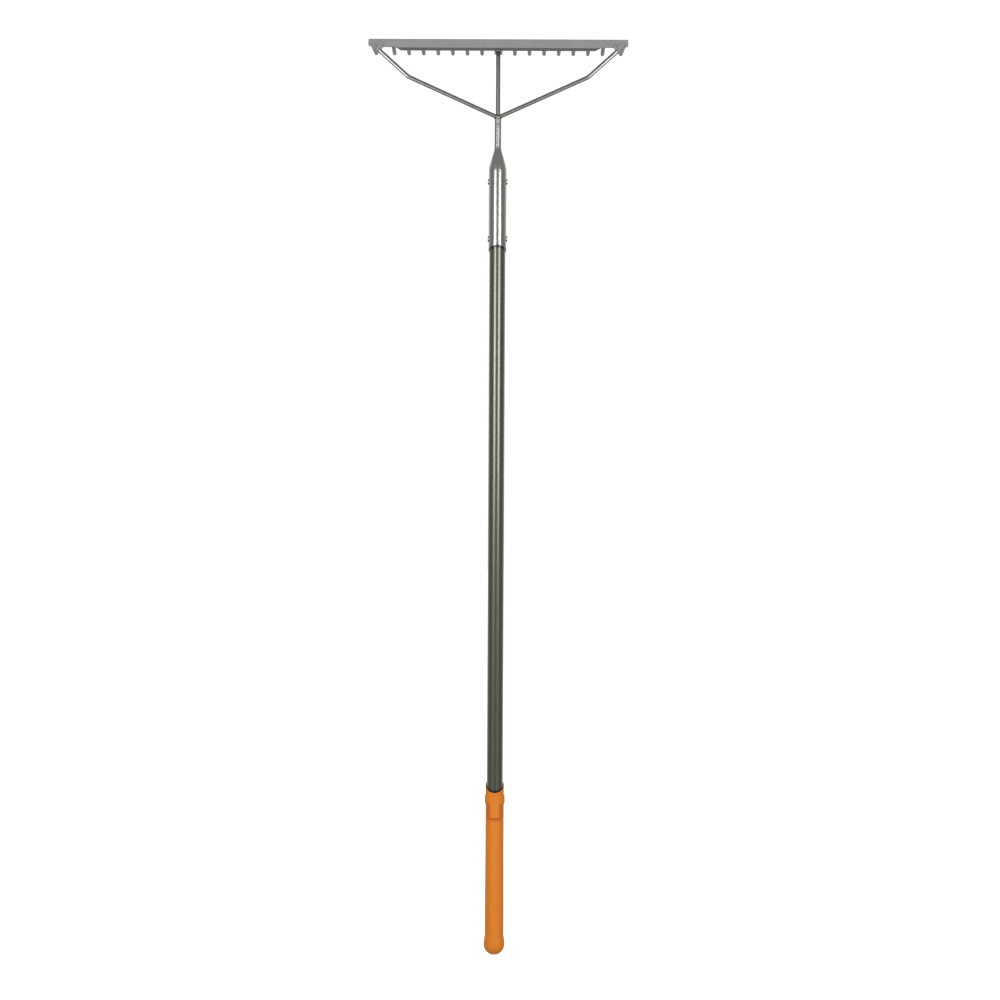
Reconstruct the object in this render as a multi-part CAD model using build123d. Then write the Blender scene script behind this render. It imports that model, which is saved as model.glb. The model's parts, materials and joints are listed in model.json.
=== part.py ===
from build123d import *
import math
import os

# Bow rake, upright: the butt of the grip rests at the origin, +Z runs up the handle to the head,
# +X runs along the head, and the tines point to +Y. All sizes are in millimetres.

# Handle tube and what fills it
TUBE_DIAMETER = 29.5
TUBE_WALL = 1.6
TUBE_BOTTOM_Z = 26.0          # the tube's lower end, inside the grip
BARE_TUBE_LENGTH = 977.5      # along the axis, between the grip's mouth and the socket's rim
PLUG_CLEARANCE = 0.05         # radial, between the tube and the plugs inside it
CORE_PLUG_LENGTH = 146.0
END_PLUG_LENGTH = 20.0
END_PLUG_FLANGE = 3.0

# Grip
KNOB_WALL = 4.55              # walls are measured outwards from the tube's surface
GRIP_LOWER_WALL = 2.55
GRIP_UPPER_WALL = 1.9
KNOB_BAND = 4.0               # height of the knob's straight side
KNOB_ROUND = 12.0
KNOB_TOP_Z = 36.0             # where the knob has run out into the sleeve
GRIP_SWELL_Z = 78.0           # the sleeve tapers from here up to the next height
GRIP_SLIM_Z = 190.0
COLLAR_BOTTOM_Z = 275.5
COLLAR_HEIGHT = 17.5
COLLAR_PROUD = 1.65
COLLAR_ROUND = 1.2
GRIP_MOUTH_Z = 310.0          # on the axis, in the middle of the slanted cut
GRIP_MOUTH_ANGLE = 40.0
GRIP_BORE_CLEARANCE = 0.1
TONGUE_WIDTH = 16.0
TONGUE_LENGTH = 25.0          # below the collar
TONGUE_ROUND = 3.0

# Socket
SOCKET_CLEARANCE = 0.1
SOCKET_WALL = 1.4
BARREL_LENGTH = 151.5         # from the middle of the slanted rim to the shoulder
FLARE_LENGTH = 35.0
NECK_LENGTH = 55.0
NECK_WALL = 2.0
SHOULDER_ROUND = 45.0
THROAT_ROUND = 25.0
RIM_ANGLE = 30.0
TUBE_TO_SHOULDER_GAP = 2.0    # below the point where the barrel starts to curve in
TANG_BORE_CLEARANCE = 0.1
NECK_SLOT_LENGTH = 7.5
NECK_SLOT_WIDTH = 1.8
NECK_SLOT_DROP = 11.0         # from the top of the neck to the middle of the slot

# Rivets across the socket
RIVET_DIAMETER = 5.0
RIVET_HEAD_DIAMETER = 10.6
RIVET_HEAD_PROUD = 2.1
RIVET_CLEARANCE = 0.05
LOWER_RIVET_RISE = 21.5       # above the middle of the slanted rim
RIVET_SPACING = 104.5

# Rods of the bow
ROD_DIAMETER = 8.0
TANG_LENGTH = 122.6           # from the junction up to the bar
TANG_IN_NECK = 46.0
BEND_RUN = 53.0               # from the seat on the ear to the bend, along X
BEND_DROP = 47.7              # and along Z
BEND_ROUND = 22.0
JUNCTION_ABOVE_NECK = 2.5
ROD_END_TRIM = 2.4            # each rod stops this far from the middle plane

# Head bar
HEAD_WIDTH = 476.0
BAR_HEIGHT = 20.5
BAR_THICKNESS = 8.0
BEVEL = 4.6
BAR_END_ROUND = 1.5
BAR_EDGE_ROUND = 0.8
NOTCH_DEPTH = 6.0
NOTCH_RAMP_INSET = 60.0       # insets are measured from the end of the bar
NOTCH_TOP_INSET = 49.0
NOTCH_END_INSET = 28.0
EAR_SEAT_INSET = 20.5
EAR_SEAT_DROP = 0.6
EAR_SEAT_MARGIN = 0.5         # on each side of the rod that stands on it
EAR_END_RISE = 8.5
EAR_CREST_INSET = 12.5
EAR_CREST_RISE = 4.0

# Tines
TINES_PER_SIDE = 7
TINE_LENGTH = 69.0
TINE_ROOT_DIAMETER = 7.6
TINE_TIP_DIAMETER = 7.0
SPIGOT_DIAMETER = 6.0         # the pin's shouldered end, pressed into the bar
SPIGOT_LENGTH = 4.0
ROOT_OVERLAP = 1.0            # by which a root is made too long before it is trimmed flush
TINE_ANGLE = 5.2              # below the square direction, towards the handle
TINE_RISE = 10.0              # of the root's centre above the bar's lower edge
FIRST_TINE_OFFSET = 30.4
LAST_TINE_INSET = 45.6
END_TINE_INSET = 11.5
END_TINE_ROOT_WIDTH = 15.0
CENTRE_TINE_WIDTH = 15.4
CENTRE_TINE_THICKNESS = 6.0
CENTRE_TINE_LENGTH = 62.0
CENTRE_TINE_TIP_ROUND = 5.0
CENTRE_TINE_EDGE_ROUND = 1.2
CENTRE_SPIGOT_WIDTH = 11.0
CENTRE_SPIGOT_THICKNESS = 4.0

# Weld beads
WELD_BEAD = 1.7
TINE_WELD_BEAD = 1.2
NECK_WELD_PROUD = 0.9         # of the neck's side
WELD_SETBACK = 0.5            # behind the bar's flat face, which the ear beads are ground clear of

# Sizes and heights that follow from the ones above
TUBE_RADIUS = TUBE_DIAMETER / 2
TUBE_BORE = TUBE_RADIUS - TUBE_WALL
PLUG_RADIUS = TUBE_BORE - PLUG_CLEARANCE
BARREL_BORE = TUBE_RADIUS + SOCKET_CLEARANCE
BARREL_RADIUS = BARREL_BORE + SOCKET_WALL
ROD_RADIUS = ROD_DIAMETER / 2
NECK_BORE = ROD_RADIUS + TANG_BORE_CLEARANCE
NECK_RADIUS = NECK_BORE + NECK_WALL
KNOB_RADIUS = TUBE_RADIUS + KNOB_WALL
GRIP_LOWER_RADIUS = TUBE_RADIUS + GRIP_LOWER_WALL
GRIP_UPPER_RADIUS = TUBE_RADIUS + GRIP_UPPER_WALL
COLLAR_RADIUS = GRIP_UPPER_RADIUS + COLLAR_PROUD
GRIP_FLOOR_Z = TUBE_BOTTOM_Z - END_PLUG_FLANGE

RIM_Z = GRIP_MOUTH_Z + BARE_TUBE_LENGTH
SHOULDER_Z = RIM_Z + BARREL_LENGTH
SHOULDER_TURN = math.atan2(BARREL_RADIUS - NECK_RADIUS, FLARE_LENGTH)
SHOULDER_START_Z = SHOULDER_Z - SHOULDER_ROUND * math.tan(SHOULDER_TURN / 2)
THROAT_Z = SHOULDER_Z + FLARE_LENGTH
NECK_TOP_Z = THROAT_Z + NECK_LENGTH
TUBE_TOP_Z = SHOULDER_START_Z - TUBE_TO_SHOULDER_GAP
JUNCTION_Z = NECK_TOP_Z + JUNCTION_ABOVE_NECK
LOWER_RIVET_Z = RIM_Z + LOWER_RIVET_RISE
RIVET_HEIGHTS = {"rivet_lower": LOWER_RIVET_Z, "rivet_upper": LOWER_RIVET_Z + RIVET_SPACING}

BAR_BOTTOM_Z = JUNCTION_Z + TANG_LENGTH
BAR_TOP_Z = BAR_BOTTOM_Z + BAR_HEIGHT
BAR_BACK_Y = BAR_THICKNESS / 2
HALF_HEAD = HEAD_WIDTH / 2
SEAT = Vector(HALF_HEAD - EAR_SEAT_INSET, 0, BAR_BOTTOM_Z - EAR_SEAT_DROP)
BEND = SEAT - Vector(BEND_RUN, 0, BEND_DROP)
SEAT_DIRECTION = (SEAT - BEND).normalized()
LAST_TINE_OFFSET = HALF_HEAD - LAST_TINE_INSET
TINE_PITCH = (LAST_TINE_OFFSET - FIRST_TINE_OFFSET) / (TINES_PER_SIDE - 1)
TINE_OFFSETS = [FIRST_TINE_OFFSET + TINE_PITCH * step for step in range(TINES_PER_SIDE)]
END_TINE_OFFSET = HALF_HEAD - END_TINE_INSET


# ---------------------------------------------------------------- shared shapes
def turned(*lines):
    """Solid of revolution about Z, from lines that close a half section in the XZ plane."""
    edges = [edge for line in lines for edge in line.edges()]
    return revolve(make_face(edges), Axis.Z)


def rod(radius, bottom, top):
    """Round bar on the axis, from one height to another."""
    return Pos(0, 0, (bottom + top) / 2) * Cylinder(radius, top - bottom)


def cross_rod(radius, length, height):
    """Round bar along X, centred on the axis."""
    return Pos(0, 0, height) * Rot(0, 90, 0) * Cylinder(radius, length)


def mirrored(shape):
    """The same shape on the other side of the handle."""
    return mirror(shape, Plane.YZ)


def rivet_holes():
    radius = RIVET_DIAMETER / 2 + RIVET_CLEARANCE
    return Part() + [cross_rod(radius, 4 * BARREL_RADIUS, height) for height in RIVET_HEIGHTS.values()]


# ---------------------------------------------------------------- handle
def make_handle_tube():
    outside = rod(TUBE_RADIUS, TUBE_BOTTOM_Z, TUBE_TOP_Z)
    return outside - rod(TUBE_BORE, TUBE_BOTTOM_Z, TUBE_TOP_Z) - rivet_holes()


def make_core_plug():
    return rod(PLUG_RADIUS, TUBE_TOP_Z - CORE_PLUG_LENGTH, TUBE_TOP_Z) - rivet_holes()


def make_tube_end_plug():
    flange = rod(TUBE_RADIUS, GRIP_FLOOR_Z, TUBE_BOTTOM_Z)
    return flange + rod(PLUG_RADIUS, TUBE_BOTTOM_Z, TUBE_BOTTOM_Z + END_PLUG_LENGTH)


def make_grip():
    """Moulded sleeve with a closed round knob, a collar and tongue, and a mouth cut on the slant."""
    slope = math.radians(GRIP_MOUTH_ANGLE)
    blank_top = GRIP_MOUTH_Z + COLLAR_RADIUS * math.tan(slope)
    collar_top = COLLAR_BOTTOM_Z + COLLAR_HEIGHT
    knob_point = KNOB_RADIUS * math.sqrt(0.5)
    knob_side = (KNOB_RADIUS, 0, KNOB_RADIUS)
    knob = ThreePointArc((0, 0, 0), (knob_point, 0, KNOB_RADIUS - knob_point), knob_side)
    side = FilletPolyline(
        knob_side,
        (KNOB_RADIUS, 0, KNOB_RADIUS + KNOB_BAND),
        (GRIP_LOWER_RADIUS, 0, KNOB_TOP_Z),
        (GRIP_LOWER_RADIUS, 0, GRIP_SWELL_Z),
        (GRIP_UPPER_RADIUS, 0, GRIP_SLIM_Z),
        (GRIP_UPPER_RADIUS, 0, COLLAR_BOTTOM_Z),
        (COLLAR_RADIUS, 0, COLLAR_BOTTOM_Z + COLLAR_PROUD),
        (COLLAR_RADIUS, 0, collar_top - COLLAR_PROUD),
        (GRIP_UPPER_RADIUS, 0, collar_top),
        (GRIP_UPPER_RADIUS, 0, blank_top),
        radius=[KNOB_ROUND, KNOB_ROUND, 0, 0] + [COLLAR_ROUND] * 4,
    )
    cap = Polyline((GRIP_UPPER_RADIUS, 0, blank_top), (0, 0, blank_top), (0, 0, 0))
    mouth = Plane((0, 0, GRIP_MOUTH_Z), z_dir=(0, -math.sin(slope), math.cos(slope)))
    sleeve = split(turned(knob, side, cap), mouth, Keep.BOTTOM)
    return sleeve + make_tongue() - rod(TUBE_RADIUS + GRIP_BORE_CLEARANCE, GRIP_FLOOR_Z, blank_top)


def make_tongue():
    """Raised tongue that runs down the front of the grip from the collar."""
    bottom = COLLAR_BOTTOM_Z - TONGUE_LENGTH
    top = COLLAR_BOTTOM_Z + COLLAR_HEIGHT / 2
    outline = RectangleRounded(TONGUE_WIDTH, top - bottom, TONGUE_ROUND)
    blank = extrude(Plane.XZ * Pos(0, (bottom + top) / 2) * outline, COLLAR_RADIUS)
    return blank & rod(COLLAR_RADIUS, bottom, top)


# ---------------------------------------------------------------- socket and rivets
def make_socket():
    """Steel tube drawn down to a neck, with a slanted rim and a slot in the front of the neck."""
    low_z = RIM_Z - BARREL_RADIUS
    outside = FilletPolyline(
        (NECK_RADIUS, 0, NECK_TOP_Z),
        (NECK_RADIUS, 0, THROAT_Z),
        (BARREL_RADIUS, 0, SHOULDER_Z),
        (BARREL_RADIUS, 0, low_z),
        radius=[THROAT_ROUND, SHOULDER_ROUND],
    )
    inside = FilletPolyline(
        (BARREL_BORE, 0, low_z),
        (BARREL_BORE, 0, SHOULDER_Z),
        (NECK_BORE, 0, THROAT_Z),
        (NECK_BORE, 0, NECK_TOP_Z),
        radius=[SHOULDER_ROUND, THROAT_ROUND],
    )
    shell = turned(outside, Line(outside @ 1, inside @ 0), inside, Line(inside @ 1, outside @ 0))
    slope = math.radians(RIM_ANGLE)
    rim = Plane((0, 0, RIM_Z), z_dir=(0, math.sin(slope), math.cos(slope)))
    return split(shell, rim, Keep.TOP) - rivet_holes() - neck_slot()


def neck_slot():
    """Cutter for the short upright slot."""
    middle = NECK_TOP_Z - NECK_SLOT_DROP
    slot = Plane.XZ * Pos(0, middle) * SlotOverall(NECK_SLOT_LENGTH, NECK_SLOT_WIDTH, 90)
    return extrude(slot, 2 * NECK_RADIUS)


def make_rivet(height):
    """Cross rivet with a domed head seated on each side of the barrel."""
    head_radius = RIVET_HEAD_DIAMETER / 2
    dome_radius = (head_radius**2 + RIVET_HEAD_PROUD**2) / (2 * RIVET_HEAD_PROUD)
    tip = BARREL_RADIUS + RIVET_HEAD_PROUD
    dome = Pos(0, 0, tip - dome_radius) * Sphere(dome_radius) & rod(head_radius, NECK_RADIUS, tip)
    barrel = rod(BARREL_RADIUS, height - RIVET_HEAD_DIAMETER, height + RIVET_HEAD_DIAMETER)
    head = Pos(0, 0, height) * Rot(0, 90, 0) * dome - barrel
    return cross_rod(RIVET_DIAMETER / 2, 2 * BARREL_RADIUS, height) + head + mirrored(head)


# ---------------------------------------------------------------- bow
def make_centre_tang():
    return rod(ROD_RADIUS, NECK_TOP_Z - TANG_IN_NECK, BAR_BOTTOM_Z)


def neck_blank():
    """The space that the neck fills, bore and all."""
    return rod(NECK_RADIUS, THROAT_Z, NECK_TOP_Z)


def make_bow_rod():
    """Right-hand rod, cut to fit the tang and the neck at its lower end."""
    path = FilletPolyline((0, 0, JUNCTION_Z), BEND, SEAT, radius=[BEND_ROUND])
    whole = sweep(Plane(path @ 0, z_dir=path % 0) * Circle(ROD_RADIUS), path)
    middle = Pos(0, 0, JUNCTION_Z) * Box(2 * ROD_END_TRIM, 4 * ROD_DIAMETER, 6 * ROD_DIAMETER)
    return whole - middle - make_centre_tang() - neck_blank()


# ---------------------------------------------------------------- head bar
def make_bar_blank():
    """Bar with its notches, ears and under-cut edge, before the tine holes."""
    across = Vector(-SEAT_DIRECTION.Z, 0, SEAT_DIRECTION.X) * (ROD_RADIUS + EAR_SEAT_MARGIN)
    outline = FilletPolyline(
        (0, 0, BAR_BOTTOM_Z),
        (HALF_HEAD - NOTCH_RAMP_INSET, 0, BAR_BOTTOM_Z),
        (HALF_HEAD - NOTCH_TOP_INSET, 0, BAR_BOTTOM_Z + NOTCH_DEPTH),
        (HALF_HEAD - NOTCH_END_INSET, 0, BAR_BOTTOM_Z + NOTCH_DEPTH),
        SEAT + across,
        SEAT - across,
        (HALF_HEAD - EAR_CREST_INSET, 0, BAR_BOTTOM_Z + EAR_CREST_RISE),
        (HALF_HEAD, 0, BAR_BOTTOM_Z + EAR_END_RISE),
        (HALF_HEAD, 0, BAR_TOP_Z),
        (0, 0, BAR_TOP_Z),
        radius=[8, 6, 2, 0.5, 0.5, 5, 2, BAR_END_ROUND],
    )
    face = make_face(outline.edges() + Line(outline @ 1, outline @ 0).edges())
    half = extrude(face, BAR_BACK_Y, both=True)
    side = BEVEL * math.sqrt(2)
    length = 2 * (HALF_HEAD - NOTCH_TOP_INSET)
    bevel = Pos(0, -BAR_BACK_Y, BAR_BOTTOM_Z) * Rot(45, 0, 0) * Box(length, side, side)
    bar = half + mirrored(half) - bevel
    top_edges = bar.edges().filter_by(Axis.X).group_by(Axis.Z)[-1]
    return fillet(top_edges, BAR_EDGE_ROUND)


def make_head_bar():
    spigots = [tine_place(x) * round_spigot() for x in round_tine_offsets()]
    return make_bar_blank() - spigots - tine_place(0) * centre_spigot()


# ---------------------------------------------------------------- tines
def round_tine_offsets():
    """Places of the round tines along the bar, from left to right."""
    right = TINE_OFFSETS + [END_TINE_OFFSET]
    return [-x for x in reversed(right)] + right


def tine_place(x):
    """At the bar's back face, with Z along the tine, which leans a little towards the handle."""
    slope = math.radians(TINE_ANGLE)
    root = (x, BAR_BACK_Y, BAR_BOTTOM_Z + TINE_RISE)
    return Plane(root, x_dir=(1, 0, 0), z_dir=(0, math.cos(slope), -math.sin(slope)))


def round_spigot():
    return rod(SPIGOT_DIAMETER / 2, -SPIGOT_LENGTH, ROOT_OVERLAP)


def centre_spigot():
    length = SPIGOT_LENGTH + ROOT_OVERLAP
    return Pos(0, 0, ROOT_OVERLAP - length / 2) * Box(CENTRE_SPIGOT_WIDTH, CENTRE_SPIGOT_THICKNESS, length)


def seated(shape, x, spigot):
    """A tine at its place, its shoulder flush on the bar's back face and its spigot in the bar."""
    bar_space = Pos(x, 0, BAR_BOTTOM_Z) * Box(HEAD_WIDTH, BAR_THICKNESS, 4 * BAR_HEIGHT)
    return tine_place(x) * shape - bar_space + tine_place(x) * spigot


def tapered_pin(root_width):
    """Pin along Z with an oval root and a domed round tip."""
    tip_radius = TINE_TIP_DIAMETER / 2
    straight = TINE_LENGTH - tip_radius
    root = Pos(0, 0, -ROOT_OVERLAP) * Ellipse(root_width / 2, TINE_ROOT_DIAMETER / 2)
    return loft([root, Pos(0, 0, straight) * Circle(tip_radius)]) + Pos(0, 0, straight) * Sphere(tip_radius)


def round_pin():
    """Pin along Z with a domed tip."""
    tip_radius = TINE_TIP_DIAMETER / 2
    straight = TINE_LENGTH - tip_radius
    length = straight + ROOT_OVERLAP
    shank = Pos(0, 0, straight - length / 2) * Cone(TINE_ROOT_DIAMETER / 2, tip_radius, length)
    return shank + Pos(0, 0, straight) * Sphere(tip_radius)


def flat_blade():
    """Blade along Z with rounded tip corners."""
    half = CENTRE_TINE_WIDTH / 2
    outline = FilletPolyline(
        (-half, 0, -ROOT_OVERLAP),
        (-half, 0, CENTRE_TINE_LENGTH),
        (half, 0, CENTRE_TINE_LENGTH),
        (half, 0, -ROOT_OVERLAP),
        radius=[CENTRE_TINE_TIP_ROUND] * 2,
    )
    face = make_face(outline.edges() + Line(outline @ 1, outline @ 0).edges())
    blade = extrude(face, CENTRE_TINE_THICKNESS / 2, both=True)
    rims = blade.faces().sort_by(Axis.Y)
    free_edges = [e for rim in (rims[0], rims[-1]) for e in rim.edges() if e.center().Z > 0]
    return fillet(free_edges, CENTRE_TINE_EDGE_ROUND)


def make_tines():
    """Every tine by name; the round ones are numbered from left to right."""
    inner = [-x for x in reversed(TINE_OFFSETS)] + TINE_OFFSETS
    tines = {f"tine_{n:02d}": seated(round_pin(), x, round_spigot()) for n, x in enumerate(inner, start=1)}
    for side, x in (("left", -END_TINE_OFFSET), ("right", END_TINE_OFFSET)):
        tines[f"end_tine_{side}"] = seated(tapered_pin(END_TINE_ROOT_WIDTH), x, round_spigot())
    tines["centre_tine"] = seated(flat_blade(), 0, centre_spigot())
    return tines


# ---------------------------------------------------------------- welds
def make_ear_and_tang_welds(bar, bow_rod, tang):
    """Beads round the upper ends of the three rods, with the wedge under the bar's bevel filled.

    On the ears they are ground off a little behind the flat face, so the bar still lies flat on it."""
    middle_y = WELD_SETBACK - BAR_THICKNESS / 2 - ROD_RADIUS
    ground_off = Pos(0, middle_y, BAR_BOTTOM_Z) * Box(HEAD_WIDTH, ROD_DIAMETER, 4 * ROD_DIAMETER)
    ear = Plane(SEAT, x_dir=(0, 1, 0), z_dir=SEAT_DIRECTION) * Torus(ROD_RADIUS, WELD_BEAD) - bar - bow_rod
    ear -= ground_off
    ring = Pos(0, 0, BAR_BOTTOM_Z) * Torus(ROD_RADIUS, WELD_BEAD)
    middle = ring + rod(ROD_RADIUS, BAR_BOTTOM_Z, BAR_BOTTOM_Z + WELD_BEAD) - bar - tang
    return Compound(children=[*ear.solids(), *mirrored(ear).solids(), *middle.solids()])


def make_neck_weld(bow_rod, tang):
    ball = Pos(0, 0, JUNCTION_Z) * Sphere(NECK_RADIUS + NECK_WELD_PROUD)
    return ball - neck_blank() - bow_rod - mirrored(bow_rod) - tang


def make_tine_welds(bar, tines):
    """Ring bead round the root of each pin, on the bar's back face."""
    beads = []
    for x, tine in zip([-x for x in reversed(TINE_OFFSETS)] + TINE_OFFSETS, tines):
        ring = tine_place(x) * Torus(TINE_ROOT_DIAMETER / 2, TINE_WELD_BEAD) - bar - tine
        beads += ring.solids()
    return Compound(children=beads)


# ---------------------------------------------------------------- the whole rake
def make_rake():
    tines = make_tines()
    bar = make_head_bar()
    tang = make_centre_tang()
    bow_rod = make_bow_rod()
    nodes = {
        "handle_tube": make_handle_tube(),
        "core_plug": make_core_plug(),
        "tube_end_plug": make_tube_end_plug(),
        "grip": make_grip(),
        "socket": make_socket(),
        "head_bar": bar,
        "centre_tang": tang,
        "bow_rod_left": mirrored(bow_rod),
        "bow_rod_right": bow_rod,
        "ear_and_tang_welds": make_ear_and_tang_welds(bar, bow_rod, tang),
        "neck_weld": make_neck_weld(bow_rod, tang),
        "tine_welds": make_tine_welds(bar, [tines[name] for name in tines if name.startswith("tine_")]),
    }
    for name, height in RIVET_HEIGHTS.items():
        nodes[name] = make_rivet(height)
    return nodes | tines


os.makedirs("parts", exist_ok=True)
for name, shape in make_rake().items():
    export_step(shape, f"parts/{name}.step")
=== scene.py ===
import json
import math

import bmesh
import bpy
from mathutils import Matrix, Vector, noise


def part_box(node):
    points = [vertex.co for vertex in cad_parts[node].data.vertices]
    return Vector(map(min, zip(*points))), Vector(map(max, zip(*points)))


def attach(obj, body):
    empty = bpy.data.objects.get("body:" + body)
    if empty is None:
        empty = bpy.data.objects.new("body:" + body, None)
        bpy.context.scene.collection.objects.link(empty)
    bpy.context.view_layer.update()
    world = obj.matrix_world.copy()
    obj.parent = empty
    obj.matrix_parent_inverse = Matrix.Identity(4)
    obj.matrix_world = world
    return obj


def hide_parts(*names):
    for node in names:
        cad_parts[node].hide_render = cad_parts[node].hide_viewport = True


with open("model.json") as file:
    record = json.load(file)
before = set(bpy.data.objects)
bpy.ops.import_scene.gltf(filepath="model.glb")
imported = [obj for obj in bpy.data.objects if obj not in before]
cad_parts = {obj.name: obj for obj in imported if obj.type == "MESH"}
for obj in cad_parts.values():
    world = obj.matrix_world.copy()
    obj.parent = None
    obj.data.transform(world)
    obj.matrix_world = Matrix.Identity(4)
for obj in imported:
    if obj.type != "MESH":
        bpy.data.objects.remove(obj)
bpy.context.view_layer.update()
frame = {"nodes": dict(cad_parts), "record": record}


def connect(tree, target, value):
    """Feed a node's input with a link from a socket, or with a plain value."""
    if isinstance(value, bpy.types.NodeSocket):
        tree.links.new(value, target)
    else:
        target.default_value = value


# ---------------------------------------------------------------- shader maths
class Socket:
    """A shader socket, or a number, that takes part in expressions."""

    def __init__(self, finish, socket):
        self.finish = finish
        self.socket = socket

    def _math(self, operation, first, second=None):
        inputs = {i: v for i, v in enumerate((first, second)) if v is not None}
        return self.finish.node("ShaderNodeMath", {"operation": operation}, inputs)

    def __add__(self, other):
        return self._math("ADD", self, other)

    def __sub__(self, other):
        return self._math("SUBTRACT", self, other)

    def __mul__(self, other):
        return self._math("MULTIPLY", self, other)

    def __rsub__(self, other):
        return self._math("SUBTRACT", other, self)

    __radd__ = __add__
    __rmul__ = __mul__

    def size(self):
        """How far from zero."""
        return self._math("ABSOLUTE", self)

    def above(self, level, blur):
        """0 below the level and 1 above it, with a soft step of the given width."""
        settings = {"interpolation_type": "SMOOTHSTEP"}
        inputs = {"Value": self, "From Min": level - blur / 2, "From Max": level + blur / 2}
        return self.finish.node("ShaderNodeMapRange", settings, inputs)

    def past(self, place, blur):
        """The same step beyond a place on an axis, in millimetres."""
        return self.above(place * MM, blur * MM)

    def short_of(self, place, blur):
        """The opposite of past."""
        return 1.0 - self.past(place, blur)


class Finish:
    """One procedural material: a Principled shader and the nodes that feed it."""

    def __init__(self, name, color, roughness, metallic=0.0, **plain):
        self.material = bpy.data.materials.new(name)
        self.material.use_nodes = True
        self.tree = self.material.node_tree
        self.shader = self.tree.nodes["Principled BSDF"]
        self.shader.inputs["Base Color"].default_value = (*color, 1.0)
        self.shader.inputs["Roughness"].default_value = roughness
        self.shader.inputs["Metallic"].default_value = metallic
        for socket, value in plain.items():
            self.shader.inputs[socket.replace("_", " ")].default_value = value

    def node(self, kind, settings=None, inputs=None, output=0):
        """Any node: its settings are set first, then the values or links of its sockets."""
        made = self.tree.nodes.new(kind)
        for key, value in (settings or {}).items():
            setattr(made, key, value)
        for key, value in (inputs or {}).items():
            self.feed(made.inputs[key], value)
        return Socket(self, made.outputs[output])

    def feed(self, target, value):
        connect(self.tree, target, value.socket if isinstance(value, Socket) else value)

    def place(self, stretch):
        """Object coordinates, stretched."""
        objects = self.node("ShaderNodeTexCoord", output="Object")
        return self.node("ShaderNodeMapping", None, {"Vector": objects, "Scale": stretch})

    def axis(self, letter):
        """The object's own X, Y or Z, in metres."""
        objects = self.node("ShaderNodeTexCoord", output="Object")
        return self.node("ShaderNodeSeparateXYZ", None, {0: objects}, letter)

    def noise(self, scale, stretch=(1, 1, 1), detail=4.0, rough=0.6):
        inputs = {"Vector": self.place(stretch), "Scale": scale, "Detail": detail, "Roughness": rough}
        return self.node("ShaderNodeTexNoise", None, inputs, "Fac")

    def mix(self, factor, first, second):
        inputs = {0: factor, 6: self._color(first), 7: self._color(second)}
        return self.node("ShaderNodeMix", {"data_type": "RGBA"}, inputs, 2)

    def _color(self, value):
        return (*value, 1.0) if isinstance(value, tuple) else value

    def set(self, socket, value):
        self.feed(self.shader.inputs[socket], value)

    def bump(self, height, distance, strength=1.0):
        """Relief from a height of 0 to 1, as deep as the distance in metres."""
        inputs = {"Height": height, "Distance": distance, "Strength": strength}
        self.set("Normal", self.node("ShaderNodeBump", None, inputs, "Normal"))


def srgb(red, green, blue):
    """Linear colour from the usual 0 to 255 values."""
    return tuple(((v / 255 + 0.055) / 1.055) ** 2.4 if v > 10 else v / 3294.6 for v in (red, green, blue))


# ---------------------------------------------------------------- shared sizes, in millimetres
MM = 0.001
RIM_Z = 1287.5                # of the socket's slanted rim, on the axis
RIM_SLOPE = math.tan(math.radians(30))
MOUTH_Z = 310.0               # of the grip's slanted mouth, on the axis
MOUTH_SLOPE = math.tan(math.radians(40))
RIVET_HEIGHTS = (1309.0, 1413.5)


# ---------------------------------------------------------------- mesh building, in millimetres
SHARP_ANGLE = math.radians(33)
ARC_STEP = math.radians(5)
SIDES = 96


def smooth_step(value, low, high):
    share = min(max((value - low) / (high - low), 0.0), 1.0)
    return share * share * (3 - 2 * share)


def steps(low, high, count):
    """Evenly spaced values, both ends included."""
    return [low + (high - low) * i / count for i in range(count + 1)]


def turns(sides):
    return [math.tau * i / sides for i in range(sides)]


def rounded(points, radii):
    """Path through points in a plane, with its inner corners rounded."""
    points = [Vector(p) for p in points]
    path = [points[0]]
    for before, corner, after, radius in zip(points, points[1:], points[2:], radii):
        back = (before - corner).normalized()
        ahead = (after - corner).normalized()
        turn = math.pi - back.angle(ahead)
        if radius == 0:
            path.append(corner)
            continue
        reach = radius * math.tan(turn / 2)
        center = corner + (back + ahead).normalized() * math.hypot(radius, reach)
        first = corner + back * reach - center
        last = corner + ahead * reach - center
        count = max(2, math.ceil(turn / ARC_STEP))
        for share in steps(0.0, 1.0, count):
            arm = first * math.sin((1 - share) * turn) + last * math.sin(share * turn)
            path.append(center + arm / math.sin(turn))
    path.append(points[-1])
    return path


def skin(rings, loop=False):
    """Mesh through rings of points; a ring of one point is a pole, and a loop joins the last to the first."""
    mesh = bmesh.new()
    made = [[mesh.verts.new(p) for p in ring] for ring in rings]
    pairs = list(zip(made, made[1:])) + ([(made[-1], made[0])] if loop else [])
    for low, high in pairs:
        count = max(len(low), len(high))
        for i in range(count):
            j = (i + 1) % count
            corners = [low[i % len(low)], low[j % len(low)], high[j % len(high)], high[i % len(high)]]
            mesh.faces.new(list(dict.fromkeys(corners)))
    return mesh


def joined(*meshes):
    """One mesh that holds several separate shells."""
    whole = bmesh.new()
    for part in meshes:
        copied = [whole.verts.new(v.co) for v in part.verts]
        part.verts.index_update()
        for face in part.faces:
            whole.faces.new([copied[v.index] for v in face.verts])
        part.free()
    return whole


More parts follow.
